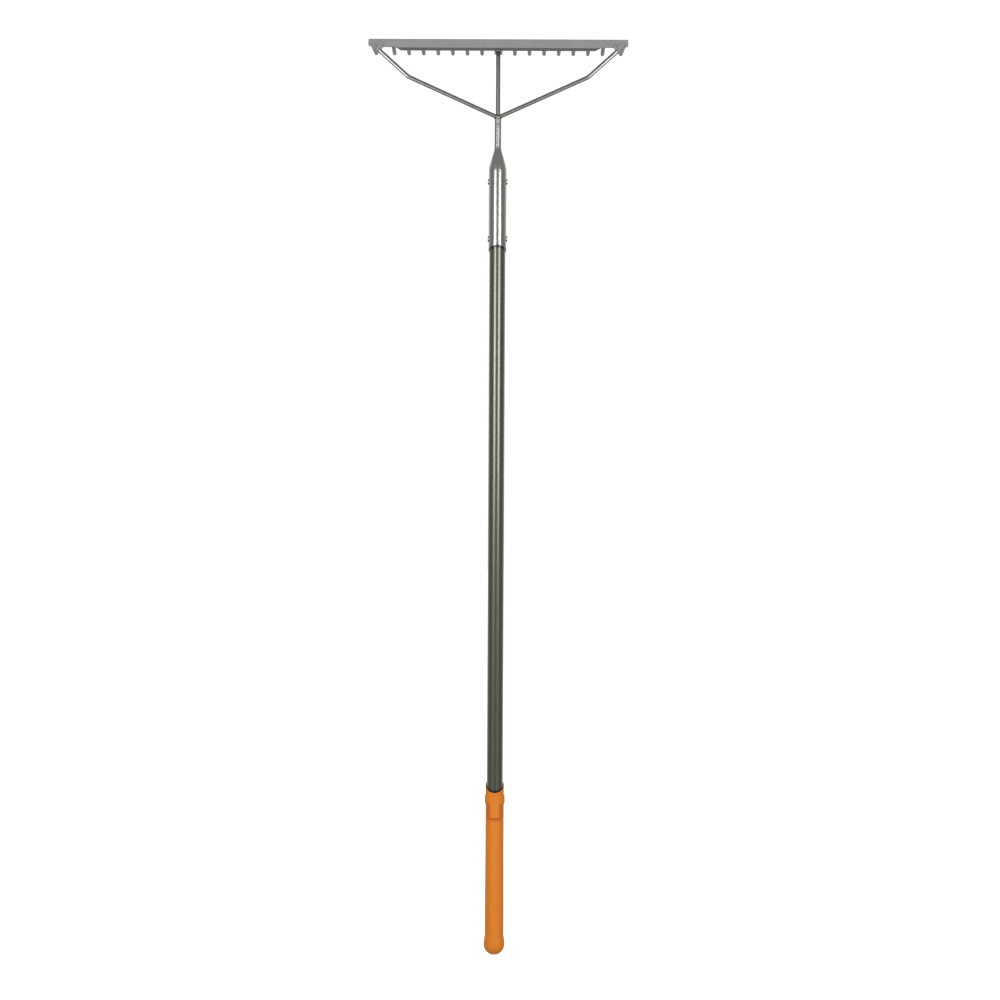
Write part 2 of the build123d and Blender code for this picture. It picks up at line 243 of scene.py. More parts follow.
def finished_mesh(name, mesh):
    """Blender mesh in metres, normals outward, smooth with its real edges kept sharp."""
    bmesh.ops.recalc_face_normals(mesh, faces=mesh.faces)
    bmesh.ops.scale(mesh, vec=(MM, MM, MM), verts=mesh.verts)
    for edge in mesh.edges:
        turned = edge.calc_face_angle(0.0) > SHARP_ANGLE
        flat_cap = any(len(face.verts) > 4 for face in edge.link_faces)
        edge.smooth = not (turned or flat_cap)
    for face in mesh.faces:
        face.smooth = True
    data = bpy.data.meshes.new(name)
    mesh.to_mesh(data)
    mesh.free()
    return data


def add_piece(name, data, slot, *nodes):
    """A piece that stands for CAD nodes, in the finish of its slot."""
    piece = bpy.data.objects.new(name, data)
    bpy.context.collection.objects.link(piece)
    if not data.materials:
        data.materials.append(FINISHES[slot])
    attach(piece, "root")
    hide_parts(*nodes)
    return piece


def turned_ring(radius, height, sides=SIDES):
    """Ring about the handle's axis, starting at the front; a radius of 0 is a pole."""
    if radius == 0:
        return [Vector((0, 0, height))]
    return [Vector((radius * math.sin(a), -radius * math.cos(a), height)) for a in turns(sides)]


def turned_solid(profile, sides=SIDES):
    return skin([turned_ring(radius, height, sides) for radius, height in profile])


# ---------------------------------------------------------------- handle tube
TUBE_RADIUS = 14.75
TUBE_BORE = 13.15
TUBE_EDGE = 0.3


def make_tube():
    low, high = (corner.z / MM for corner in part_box("handle_tube"))
    profile = [
        (TUBE_BORE, low), (TUBE_RADIUS - TUBE_EDGE, low), (TUBE_RADIUS, low + TUBE_EDGE),
        *[(TUBE_RADIUS, z) for z in steps(low + 10, high - 10, 24)],
        (TUBE_RADIUS, high - TUBE_EDGE), (TUBE_RADIUS - TUBE_EDGE, high), (TUBE_BORE, high),
    ]
    mesh = skin([turned_ring(radius, height) for radius, height in profile], loop=True)
    add_piece("drawn_tube", finished_mesh("drawn_tube", mesh), "tube_aluminium", "handle_tube")


# ---------------------------------------------------------------- grip
KNOB_RADIUS = 19.3
KNOB_BAND_TOP = 23.3
KNOB_TOP = 36.0
KNOB_ROUND = 12.0
LOWER_RADIUS = 17.3           # up to the swell; the sleeve then tapers to its slim part
SWELL_Z = 78.0
SLIM_Z = 190.0
BODY_RADIUS = 16.65
COLLAR_PROUD = 1.65
COLLAR_RADIUS = BODY_RADIUS + COLLAR_PROUD
COLLAR_BOTTOM = 275.5
COLLAR_TOP = 293.0
COLLAR_ROUND = 1.2
SLEEVE_TOP = 330.0            # above the highest point of the mouth
GRIP_PATH = rounded(
    [(KNOB_RADIUS, KNOB_RADIUS), (KNOB_RADIUS, KNOB_BAND_TOP), (LOWER_RADIUS, KNOB_TOP),
     (LOWER_RADIUS, SWELL_Z), (BODY_RADIUS, SLIM_Z), (BODY_RADIUS, COLLAR_BOTTOM),
     (COLLAR_RADIUS, COLLAR_BOTTOM + COLLAR_PROUD), (COLLAR_RADIUS, COLLAR_TOP - COLLAR_PROUD),
     (BODY_RADIUS, COLLAR_TOP), (BODY_RADIUS, SLEEVE_TOP)],
    [KNOB_ROUND, KNOB_ROUND, 0, 0, *4 * [COLLAR_ROUND]])
GRIP_SIDES = 168
GRIP_BORE = 14.85
GRIP_FLOOR = 16.0
MOUTH_FLARE = 1.25            # of the bore at the mouth
MOUTH_FLARE_DEPTH = 6.0
LIP_ROUND = 0.45
TONGUE_HALF_WIDTH = 8.0
TONGUE_BOTTOM = 250.5
TONGUE_TOP = 284.0
TONGUE_CORNER = 3.0
TONGUE_EDGE = 3.2
FLANK_DEPTH = 0.6
FLANK_WIDTH = 8.5
RIB_BOTTOM = 37.0
RIB_PITCH = 8.5
RIB_COUNT = 12
RIB_DEPTH = 0.34
RIB_HALF_WIDTH = 1.1
RIB_ARCH = 3.5
RIBBED_TOP = 142.0            # the rings are close up to here, and again from the plain part's top
PLAIN_TOP = 244.0


def grip_radius(height):
    """Radius of the plain sleeve at a height."""
    for (low_radius, low), (high_radius, high) in zip(GRIP_PATH, GRIP_PATH[1:]):
        if low <= height <= high:
            share = (height - low) / (high - low) if high > low else 0.0
            return low_radius + (high_radius - low_radius) * share
    return BODY_RADIUS


def tongue_distance(across, height):
    """Distance outside the tongue's rounded outline, negative inside it."""
    middle = (TONGUE_BOTTOM + TONGUE_TOP) / 2
    over_x = abs(across) - TONGUE_HALF_WIDTH + TONGUE_CORNER
    over_z = abs(height - middle) - (TONGUE_TOP - TONGUE_BOTTOM) / 2 + TONGUE_CORNER
    return math.hypot(max(over_x, 0), max(over_z, 0)) + min(max(over_x, over_z), 0) - TONGUE_CORNER


def rib_groove(turn, height):
    """Depth of the arched grooves round the lower grip."""
    rise = height - RIB_BOTTOM - RIB_ARCH * math.cos(turn) ** 2
    number = min(max(round(rise / RIB_PITCH), 0), RIB_COUNT - 1)
    away = (rise - number * RIB_PITCH) / RIB_HALF_WIDTH
    return RIB_DEPTH * math.exp(-away * away) * abs(math.cos(turn)) ** 0.6


def grip_point(turn, height):
    """Point of the grip's outside, with its grooves, tongue and flanks."""
    radius = grip_radius(height)
    if height < PLAIN_TOP:
        radius -= rib_groove(turn, height)
    elif math.cos(turn) > 0:
        away = tongue_distance(radius * math.sin(turn), height)
        raised = 1 - smooth_step(away, -0.4, TONGUE_EDGE)
        sunk = smooth_step(away, 0.4, TONGUE_EDGE) * (1 - smooth_step(away, TONGUE_EDGE, FLANK_WIDTH))
        on_body = 1 - smooth_step(radius, BODY_RADIUS, COLLAR_RADIUS)
        radius += (COLLAR_RADIUS - radius) * raised - FLANK_DEPTH * sunk * on_body
    return Vector((radius * math.sin(turn), -radius * math.cos(turn), height))


def mouth_height(turn, radius):
    """Height of the slanted cut, low at the front."""
    return MOUTH_Z - radius * math.cos(turn) * MOUTH_SLOPE


def mouth_ring(radius, drop):
    return [Vector((radius * math.sin(t), -radius * math.cos(t), mouth_height(t, radius) - drop))
            for t in turns(GRIP_SIDES)]


def make_grip():
    around = turns(GRIP_SIDES)
    rings = [[Vector((0, 0, 0))]]
    for lean in steps(math.radians(4), math.radians(90), 20):
        radius, height = KNOB_RADIUS * math.sin(lean), KNOB_RADIUS * (1 - math.cos(lean))
        rings.append(turned_ring(radius, height, GRIP_SIDES))
    heights = steps(KNOB_RADIUS + 0.7, RIBBED_TOP, 170)[1:] + steps(RIBBED_TOP, PLAIN_TOP, 16)[1:]
    heights += steps(PLAIN_TOP, COLLAR_TOP, 84)[1:]
    rings += [[grip_point(t, z) for t in around] for z in heights]
    rise = [mouth_height(t, BODY_RADIUS) - LIP_ROUND - COLLAR_TOP for t in around]
    for share in (0.2, 0.4, 0.6, 0.8, 0.95):
        rings.append([grip_point(t, COLLAR_TOP + share * r) for t, r in zip(around, rise)])
    for lean in steps(0.0, math.radians(90), 4):
        radius = BODY_RADIUS - LIP_ROUND * (1 - math.cos(lean))
        rings.append(mouth_ring(radius, LIP_ROUND * (1 - math.sin(lean))))
    rings.append(mouth_ring(GRIP_BORE + MOUTH_FLARE, 0.0))
    rings.append(mouth_ring(GRIP_BORE + MOUTH_FLARE / 3, MOUTH_FLARE_DEPTH / 2))
    rings.append(mouth_ring(GRIP_BORE, MOUTH_FLARE_DEPTH))
    rings += [turned_ring(GRIP_BORE, z, GRIP_SIDES) for z in (270.0, 150.0, GRIP_FLOOR)]
    rings.append([Vector((0, 0, GRIP_FLOOR))])
    add_piece("moulded_grip", finished_mesh("moulded_grip", skin(rings)), "grip_orange", "grip")


# ---------------------------------------------------------------- socket
BARREL_RADIUS = 16.25
BARREL_BORE = 14.85
NECK_RADIUS = 6.1
NECK_BORE = 4.1
NECK_TOP = 1529.0
NECK_EDGE = 0.5
THROAT_Z = 1474.0
THROAT_ROUND = 25.0
SHOULDER_Z = 1439.0
SHOULDER_ROUND = 45.0
BARREL_STRAIGHT = 1310.0      # rings are level from here up; the neck is plain up to its slot
NECK_PLAIN = 1500.0
RIM_EDGE = 0.45
SLOT_MIDDLE = 1518.0
SLOT_HALF_LENGTH = 3.75
SLOT_HALF_WIDTH = 0.9
SLOT_DEPTH = 1.7
SLOT_EDGE = 0.25
SLOT_REACH = 6.0              # of the close rings, above and below its middle
SOCKET_SIDES = 144


def neck_slot_depth(turn, height):
    """Depth of the upright slot in the front of the neck."""
    across = NECK_RADIUS * math.sin(turn)
    beyond = max(abs(height - SLOT_MIDDLE) - SLOT_HALF_LENGTH + SLOT_HALF_WIDTH, 0.0)
    away = math.hypot(across, beyond) - SLOT_HALF_WIDTH
    return SLOT_DEPTH * (1 - smooth_step(away, -SLOT_EDGE, SLOT_EDGE)) if math.cos(turn) > 0 else 0.0


def rim_ring(radius, rise):
    """Ring that follows the slanted rim, high at the front."""
    return [Vector((radius * math.sin(t), -radius * math.cos(t),
                    RIM_Z + radius * math.cos(t) * RIM_SLOPE + rise)) for t in turns(SOCKET_SIDES)]


def neck_ring(height):
    """Ring of the neck, sunk where it crosses the slot."""
    ring = []
    for turn in turns(SOCKET_SIDES):
        radius = NECK_RADIUS - neck_slot_depth(turn, height)
        ring.append(Vector((radius * math.sin(turn), -radius * math.cos(turn), height)))
    return ring


def make_socket():
    outside = rounded([(BARREL_RADIUS, BARREL_STRAIGHT), (BARREL_RADIUS, SHOULDER_Z), (NECK_RADIUS, THROAT_Z),
                       (NECK_RADIUS, NECK_PLAIN)], [SHOULDER_ROUND, THROAT_ROUND])
    inside = rounded([(NECK_BORE, NECK_PLAIN), (NECK_BORE, THROAT_Z), (BARREL_BORE, SHOULDER_Z),
                      (BARREL_BORE, BARREL_STRAIGHT)], [THROAT_ROUND, SHOULDER_ROUND])
    mouth = [(NECK_RADIUS, NECK_TOP - NECK_EDGE), (NECK_RADIUS - NECK_EDGE, NECK_TOP), (NECK_BORE, NECK_TOP)]
    rings = [rim_ring(BARREL_RADIUS - RIM_EDGE * (1 - math.sin(lean)), RIM_EDGE * (1 - math.cos(lean)))
             for lean in steps(0.0, math.radians(90), 4)]
    rings += [turned_ring(radius, z, SOCKET_SIDES) for radius, z in outside]
    rings += [neck_ring(z) for z in steps(SLOT_MIDDLE - SLOT_REACH, SLOT_MIDDLE + SLOT_REACH, 48)]
    rings += [turned_ring(radius, z, SOCKET_SIDES) for radius, z in (*mouth, *inside)]
    rings.append(rim_ring(BARREL_BORE, 0.0))
    mesh = skin(rings, loop=True)
    add_piece("drawn_socket", finished_mesh("drawn_socket", mesh), "socket_steel", "socket")


# ---------------------------------------------------------------- rivets
RIVET_HEAD_RADIUS = 5.3
RIVET_PROUD = 2.1
RIVET_SEAT = 14.9             # of the head's underside, from the axis
RIVET_EDGE = 0.35             # of the head beyond the barrel, before its dome starts
RIVET_SHANK_RADIUS = 2.5
RIVET_SHANK_HALF = 15.2
RIVET_HEAD_SIDES = 48
RIVET_SHANK_SIDES = 32


def rivet_head(height, side):
    """Domed head about X with a small turned-in edge, seated in the barrel's curve."""
    profile = [(0.0, RIVET_SEAT), (RIVET_HEAD_RADIUS - 0.4, RIVET_SEAT + 0.1),
               (RIVET_HEAD_RADIUS, RIVET_SEAT + 0.6), (RIVET_HEAD_RADIUS, BARREL_RADIUS + 0.1)]
    edge = BARREL_RADIUS + RIVET_EDGE
    crown = RIVET_PROUD - RIVET_EDGE
    for lean in steps(math.radians(8), math.radians(90), 9):
        profile.append((RIVET_HEAD_RADIUS * math.cos(lean), edge + crown * math.sin(lean)))
    rings = []
    for radius, out in profile:
        around = turns(RIVET_HEAD_SIDES) if radius > 1e-6 else [0.0]
        rings.append([Vector((side * out, radius * math.sin(t), height + radius * math.cos(t)))
                      for t in around])
    return skin(rings)


def rivet_shank(height):
    rings = []
    for x, radius in ((-1, 0.0), (-1, RIVET_SHANK_RADIUS), (1, RIVET_SHANK_RADIUS), (1, 0.0)):
        around = turns(RIVET_SHANK_SIDES) if radius else [0.0]
        rings.append([Vector((x * RIVET_SHANK_HALF, radius * math.sin(t), height + radius * math.cos(t)))
                      for t in around])
    return skin(rings)


def make_rivets():
    for name, height in zip(("rivet_lower", "rivet_upper"), RIVET_HEIGHTS):
        mesh = joined(rivet_head(height, -1), rivet_head(height, 1), rivet_shank(height))
        add_piece(name + "_set", finished_mesh(name + "_set", mesh), "rivet_steel", name)


# ---------------------------------------------------------------- bow
ROD_RADIUS = 4.0
JUNCTION = Vector((0.0, 1531.5))
BEND = Vector((164.5, 1605.8))
SEAT = Vector((217.5, 1653.5))
SEAT_DIRECTION = (SEAT - BEND).normalized()
BEND_ROUND = 22.0
BAR_BOTTOM = 1654.1
BAR_TOP = 1674.6
TANG_BOTTOM = 1483.0
ROD_START = 3.0               # along X from the middle
ROD_SIDES = 40


def swept_rod(path, side):
    """Round rod along a path in the XZ plane, with flat ends."""
    rings = []
    for i, point in enumerate(path):
        before, after = path[max(i - 1, 0)], path[min(i + 1, len(path) - 1)]
        along = (after - before).normalized()
        across = Vector((-along.y, along.x))
        ring = []
        for turn in turns(ROD_SIDES):
            place = point + across * ROD_RADIUS * math.cos(turn)
            ring.append(Vector((side * place.x, ROD_RADIUS * math.sin(turn), place.y)))
        rings.append(ring)
    ends = [[Vector((side * p.x, 0, p.y))] for p in (path[0], path[-1])]
    return skin([ends[0], *rings, ends[1]])


def make_bow():
    start = JUNCTION + (BEND - JUNCTION).normalized() * ROD_START
    path = rounded([start, BEND, SEAT], [BEND_ROUND])
    path = [start, *[start.lerp(path[1], share) for share in steps(0.1, 0.9, 8)], *path[1:]]
    for name, side in (("bow_rod_left", -1), ("bow_rod_right", 1)):
        mesh = swept_rod(path, side)
        add_piece(name + "_bent", finished_mesh(name + "_bent", mesh), "rod_steel", name)
    profile = [(ROD_RADIUS, z) for z in steps(TANG_BOTTOM, BAR_BOTTOM, 12)]
    profile = [(0, TANG_BOTTOM), *profile, (0, BAR_BOTTOM)]
    mesh = turned_solid(profile, ROD_SIDES)
    add_piece("centre_rod", finished_mesh("centre_rod", mesh), "rod_steel", "centre_tang")


# ---------------------------------------------------------------- head bar
HALF_HEAD = 238.0
BAR_BACK = 4.0
BEVEL = 4.6
NOTCH_START = 178.0           # the bevel runs out on the notch's ramp
BEVEL_END = 189.0
NOTCH_END = 210.0
NOTCH_DEPTH = 6.0
EAR_CREST = 225.5
EAR_CREST_RISE = 4.0
EAR_END_RISE = 8.5
TOP_EDGE = 0.8
OTHER_EDGE = 0.4
SEAT_MARGIN = 0.5             # of the ear beside the rod that stands on it
SEAT_ACROSS = Vector((-SEAT_DIRECTION.y, SEAT_DIRECTION.x)) * (ROD_RADIUS + SEAT_MARGIN)


def bar_outline():
    """The bar seen from the front, as one closed loop of points."""
    notch_top = BAR_BOTTOM + NOTCH_DEPTH
    corners = [
        ((NOTCH_START, BAR_BOTTOM), 8.0), ((BEVEL_END, notch_top), 6.0), ((NOTCH_END, notch_top), 2.0),
        (SEAT + SEAT_ACROSS, 0.5), (SEAT - SEAT_ACROSS, 0.5), ((EAR_CREST, BAR_BOTTOM + EAR_CREST_RISE), 5.0),
        ((HALF_HEAD, BAR_BOTTOM + EAR_END_RISE), 2.0), ((HALF_HEAD, BAR_TOP), 1.5),
    ]
    points = [(0, BAR_BOTTOM), *[point for point, _ in corners], (0, BAR_TOP)]
    half = rounded(points, [radius for _, radius in corners])
    other = [Vector((-p.x, p.y)) for p in reversed(half[1:-1])]
    return half + other


def edge_loops(outline, face_y):
    """Loops round one face's edge, from the bar's side to the face: a quarter round or the long bevel."""
    toward = -1 if face_y < 0 else 1
    loops = []
    for lean in steps(0.0, math.radians(90), 3):
        loop = []
        for i, point in enumerate(outline):
            along = (outline[(i + 1) % len(outline)] - outline[i - 1]).normalized()
            inward = Vector((-along.y, along.x))
            rise = point.y - BAR_BOTTOM
            if face_y < 0 and rise < BEVEL and abs(point.x) < BEVEL_END:
                share = lean / math.radians(90)
                depth = BEVEL - rise
                loop.append(Vector((point.x, face_y + depth * (1 - share), point.y + depth * share)))
                continue
            size = TOP_EDGE if point.y > BAR_TOP - 0.01 else OTHER_EDGE
            inset = point + inward * size * (1 - math.cos(lean))
            loop.append(Vector((inset.x, face_y - toward * size * (1 - math.sin(lean)), inset.y)))
        loops.append(loop)
    return loops


def make_bar():
    outline = bar_outline()
    back = edge_loops(outline, BAR_BACK)
    front = edge_loops(outline, -BAR_BACK)
    mesh = skin([*reversed(back), *front])
    mesh.verts.ensure_lookup_table()
    count = len(outline)
    mesh.faces.new(mesh.verts[:count])
    mesh.faces.new(mesh.verts[-count:])
    add_piece("coated_bar", finished_mesh("coated_bar", mesh), "head_paint", "head_bar")


# ---------------------------------------------------------------- tines
TINE_LEAN = math.radians(5.2)
TINE_ROOT_Z = BAR_BOTTOM + 10.0
TINE_ROOT_RADIUS = 3.8
TINE_TIP_RADIUS = 3.5
TINE_LENGTH = 69.0
FIRST_TINE = 30.4
TINE_PITCH = 27.0
TINES_PER_SIDE = 7
END_TINE = 226.5
END_TINE_HALF_ROOT = 7.5
PIN_SIDES = 40
BLADE_HALF_WIDTH = 7.7
BLADE_HALF_THICKNESS = 3.0
BLADE_LENGTH = 62.0
BLADE_TIP_ROUND = 5.0
BLADE_EDGE = 1.2
ROOT_SINK = 0.3
TINE_TURN = Matrix.Rotation(-math.radians(90) - TINE_LEAN, 4, "X")


def pin_rings(half_root):
    """Tapered pin along Z with a domed tip; a wide root narrows evenly to the round tip."""
    straight = TINE_LENGTH - TINE_TIP_RADIUS
    rings = [[Vector((0, 0, -ROOT_SINK))]]
    for height in steps(-ROOT_SINK, straight, 14):
        share = max(height, 0) / straight
        wide = half_root + (TINE_TIP_RADIUS - half_root) * share
        deep = TINE_ROOT_RADIUS + (TINE_TIP_RADIUS - TINE_ROOT_RADIUS) * share
        rings.append([Vector((wide * math.cos(t), deep * math.sin(t), height)) for t in turns(PIN_SIDES)])
    for lean in steps(0.0, math.radians(80), 7)[1:]:
        radius = TINE_TIP_RADIUS * math.cos(lean)
        height = straight + TINE_TIP_RADIUS * math.sin(lean)
        rings.append([Vector((radius * math.cos(t), radius * math.sin(t), height)) for t in turns(PIN_SIDES)])
    rings.append([Vector((0, 0, TINE_LENGTH))])
    return rings


def rounded_box_ring(half_width, half_depth, height):
    """Cross-section of the flat blade."""
    corner = min(BLADE_EDGE, half_width * 0.5)
    ring = []
    for quarter, (sign_x, sign_y) in enumerate(((1, 1), (-1, 1), (-1, -1), (1, -1))):
        for step in steps(0.0, math.radians(90), 4):
            turn = quarter * math.radians(90) + step
            ring.append(Vector((sign_x * (half_width - corner) + corner * math.cos(turn),
                                sign_y * (half_depth - corner) + corner * math.sin(turn), height)))
    return ring


def blade_rings():
    rings = [[Vector((0, 0, -ROOT_SINK))]]
    shoulder = BLADE_LENGTH - BLADE_TIP_ROUND
    for height in steps(-ROOT_SINK, shoulder, 10):
        rings.append(rounded_box_ring(BLADE_HALF_WIDTH, BLADE_HALF_THICKNESS, height))
    for lean in steps(0.0, math.radians(90), 8)[1:]:
        width = BLADE_HALF_WIDTH - BLADE_TIP_ROUND * (1 - math.cos(lean))
        height = shoulder + BLADE_TIP_ROUND * math.sin(lean)
        rings.append(rounded_box_ring(width, BLADE_HALF_THICKNESS, height))
    rings.append([Vector((0, 0, BLADE_LENGTH))])
    return rings


def seated_at(rings, x):
    place = Matrix.Translation((x, BAR_BACK, TINE_ROOT_Z)) @ TINE_TURN
    return [[place @ point for point in ring] for ring in rings]


def make_special_tines():
    for side, x in (("left", -END_TINE), ("right", END_TINE)):
        name = f"end_tine_{side}"
        mesh = skin(seated_at(pin_rings(END_TINE_HALF_ROOT), x))
        add_piece(name + "_wedge", finished_mesh(name + "_wedge", mesh), "head_paint", name)
    mesh = skin(seated_at(blade_rings(), 0.0))
    add_piece("centre_blade", finished_mesh("centre_blade", mesh), "head_paint", "centre_tine")


# ---------------------------------------------------------------- what repeats along the bar
def bar_row_nodes():
    """Nodes that set a source in two even rows behind the bar, each copy rolled and sized on its own."""
    tree = bpy.data.node_groups.new("row_along_bar", "GeometryNodeTree")
    inputs = {}
    tree.interface.new_socket("Geometry", in_out="OUTPUT", socket_type="NodeSocketGeometry")
    kinds = {"Geometry": "Geometry", "Source": "Object", "Finish": "Material", "Per side": "Int",
             "First": "Float", "Pitch": "Float", "Spread": "Float", "Seed": "Int"}
    for label, kind in kinds.items():
        made = tree.interface.new_socket(label, in_out="INPUT", socket_type="NodeSocket" + kind)
        inputs[label] = made.identifier

    def node(kind, **sockets):
        """A node by its type, which may leave out the GeometryNode that most begin with."""
        prefix = "" if kind.startswith(("Shader", "Function", "NodeGroup")) else "GeometryNode"
        made = tree.nodes.new(prefix + kind)
        for key, value in sockets.items():
            connect(tree, made.inputs[key.replace("_", " ")], value)
        return made

    def maths(operation, first, second):
        made = node("ShaderNodeMath")
        made.operation = operation
        connect(tree, made.inputs[0], first)
        connect(tree, made.inputs[1], second)
        return made.outputs[0]

    given = node("NodeGroupInput").outputs
    root = {"Y": BAR_BACK * MM, "Z": TINE_ROOT_Z * MM}
    rows = []
    for side in (-1.0, 1.0):
        start = node("ShaderNodeCombineXYZ", X=maths("MULTIPLY", given["First"], side), **root).outputs[0]
        offset = node("ShaderNodeCombineXYZ", X=maths("MULTIPLY", given["Pitch"], side)).outputs[0]
        rows.append(node("MeshLine", Count=given["Per side"], Start_Location=start, Offset=offset))
    both = node("JoinGeometry")
    for row in rows:
        tree.links.new(row.outputs[0], both.inputs[0])
    source = node("ObjectInfo", Object=given["Source"], As_Instance=True)
    sizes = node("FunctionNodeRandomValue", Seed=given["Seed"])
    connect(tree, sizes.inputs[2], maths("SUBTRACT", 1.0, given["Spread"]))
    sizes.inputs[3].default_value = 1.0
    rolls = node("FunctionNodeRandomValue", Seed=given["Seed"])
    rolls.inputs[3].default_value = math.tau
    roll = node("ShaderNodeCombineXYZ", Z=rolls.outputs[1])
    placed = node("InstanceOnPoints", Points=both.outputs[0], Instance=source.outputs["Geometry"],
                  Rotation=TINE_TURN.to_euler())
    tree.links.new(sizes.outputs[1], placed.inputs["Scale"])
    rolled = node("RotateInstances", Instances=placed.outputs[0], Rotation=roll.outputs[0], Local_Space=True)
    real = node("RealizeInstances", Geometry=rolled.outputs[0])
    coated = node("SetMaterial", Geometry=real.outputs[0], Material=given["Finish"])
    result = node("NodeGroupOutput")
    tree.links.new(coated.outputs[0], result.inputs[0])
    return tree, inputs


def row_along_bar(name, rings, loop, slot, spread, seed, *nodes):
    """Two rows of one shape along the bar's back, as a plain mesh that stands for CAD nodes."""
    tree, inputs = bar_row_nodes()
    source = bpy.data.objects.new(name + "_source", finished_mesh(name + "_source", skin(rings, loop)))
    holder = bpy.data.objects.new(name + "_row", bpy.data.meshes.new(name + "_row"))
    bpy.context.collection.objects.link(source)
    bpy.context.collection.objects.link(holder)
    modifier = holder.modifiers.new("row", "NODES")
    modifier.node_group = tree
    values = {"Source": source, "Finish": FINISHES[slot], "Per side": TINES_PER_SIDE,
              "First": FIRST_TINE * MM, "Pitch": TINE_PITCH * MM, "Spread": spread, "Seed": seed}
    for label, value in values.items():
        modifier[inputs[label]] = value
    bpy.context.view_layer.update()
    evaluated = holder.evaluated_get(bpy.context.evaluated_depsgraph_get())
    data = bpy.data.meshes.new_from_object(evaluated)
    data.name = name
    bpy.data.objects.remove(holder)
    bpy.data.objects.remove(source)
    bpy.data.node_groups.remove(tree)
    add_piece(name, data, slot, *nodes)


# ---------------------------------------------------------------- welds
EAR_BEAD = 1.7
TANG_BEAD = 1.6
TINE_BEAD = 1.2
ROD_RIPPLES = 17
TINE_RIPPLES = 13
BEAD_STATIONS = 90
BEAD_SIDES = 14
BEAD_SPREAD = 0.08            # how much smaller a copy of the pins' bead may be
NECK_BALL = 6.9
NECK_LUMPS = 0.35
GROUND_Y = -3.5


def bead_rings(ring_radius, bead_radius, ripples):
    """Rippled bead round a circle in the XY plane: each ripple swells, then drops behind the next."""
    rings = []
    for turn in turns(BEAD_STATIONS):
        ripple = (turn / math.tau * ripples) % 1.0
        swell = 1.0 + 0.16 * (ripple - 0.5) + 0.08 * math.sin(3 * turn + 0.7)
        out = Vector((math.cos(turn), math.sin(turn), 0))
        size = bead_radius * swell
        rings.append([out * (ring_radius + size * math.cos(t)) + Vector((0, 0, size * math.sin(t)))
                      for t in turns(BEAD_SIDES)])
    return rings


def bead_about(center, axis, ring_radius, bead_radius, ripples, ground_y=None):
    """The same bead about any axis, ground off at the front where a height is given."""
    turn = axis.to_track_quat("Z", "Y").to_matrix()
    rings = [[center + turn @ p for p in ring] for ring in bead_rings(ring_radius, bead_radius, ripples)]
    if ground_y is not None:
        for ring in rings:
            for point in ring:
                point.y = max(point.y, ground_y)
    return skin(rings, loop=True)


def lumpy_ball(center, radius, roughness):
    """Weld metal built up round a joint."""
    rings = []
    for lean in steps(-math.pi / 2, math.pi / 2, 28):
        flat = math.cos(lean)
        if flat < 1e-6:
            rings.append([center + Vector((0, 0, radius * math.sin(lean)))])
            continue
        ring = []
        for t in turns(44):
            out = Vector((flat * math.sin(t), -flat * math.cos(t), math.sin(lean)))
            lump = noise.noise(out * 2.3) * roughness + 0.5 * roughness * math.sin(lean * 16 + out.x * 3)
            ring.append(center + out * (radius + lump))
        rings.append(ring)
    return skin(rings)


def make_welds():
    ears = []
    for side in (-1, 1):
        center = Vector((side * SEAT.x, 0, SEAT.y))
        axis = Vector((side * SEAT_DIRECTION.x, 0, SEAT_DIRECTION.y))
        ears.append(bead_about(center, axis, ROD_RADIUS, EAR_BEAD, ROD_RIPPLES, GROUND_Y))
    foot = Vector((0, 0, BAR_BOTTOM))
    middle = bead_about(foot, Vector((0, 0, 1)), ROD_RADIUS, TANG_BEAD, ROD_RIPPLES)
    mesh = joined(*ears, middle)
    add_piece("rod_beads", finished_mesh("rod_beads", mesh), "weld_steel", "ear_and_tang_welds")
    ball = lumpy_ball(Vector((0, 0, JUNCTION.y)), NECK_BALL, NECK_LUMPS)
    add_piece("neck_bead", finished_mesh("neck_bead", ball), "weld_steel", "neck_weld")
    beads = bead_rings(TINE_ROOT_RADIUS, TINE_BEAD, TINE_RIPPLES)
    row_along_bar("tine_beads", beads, True, "weld_steel", BEAD_SPREAD, 11, "tine_welds")


def make_round_tines():
    names = [f"tine_{number:02d}" for number in range(1, 2 * TINES_PER_SIDE + 1)]
    row_along_bar("pin_tines", pin_rings(TINE_ROOT_RADIUS), False, "head_paint", 0.0, 7, *names)


# ---------------------------------------------------------------- finishes
ALONG_HANDLE = (1.0, 1.0, 0.015)
ALONG_BAR = (0.05, 1.0, 1.0)
PINS_FROM, PINS_TO = 15.0, 215.0      # across the head
EARS_FROM = 206.0
EARS_TOP = 1668.0
TANG_FROM = 1536.0            # above the neck's weld
# where the painted shadow under the bar begins on the middle rod
TANG_SHADOW_FROM = 1644.0
# where the flare's rougher finish and its painted shade begin
DRAWN_DOWN_AND_SHADE_FROM = 1446.0
SHADOW_UNDER_RIM = 4.0               # reach of the painted shadow below the rim and above the mouth
SHADOW_OVER_MOUTH = 3.0
HIGHLIGHT_BAND_HALF_HEIGHT = 1.9    # of the painted highlight band across a rivet's head
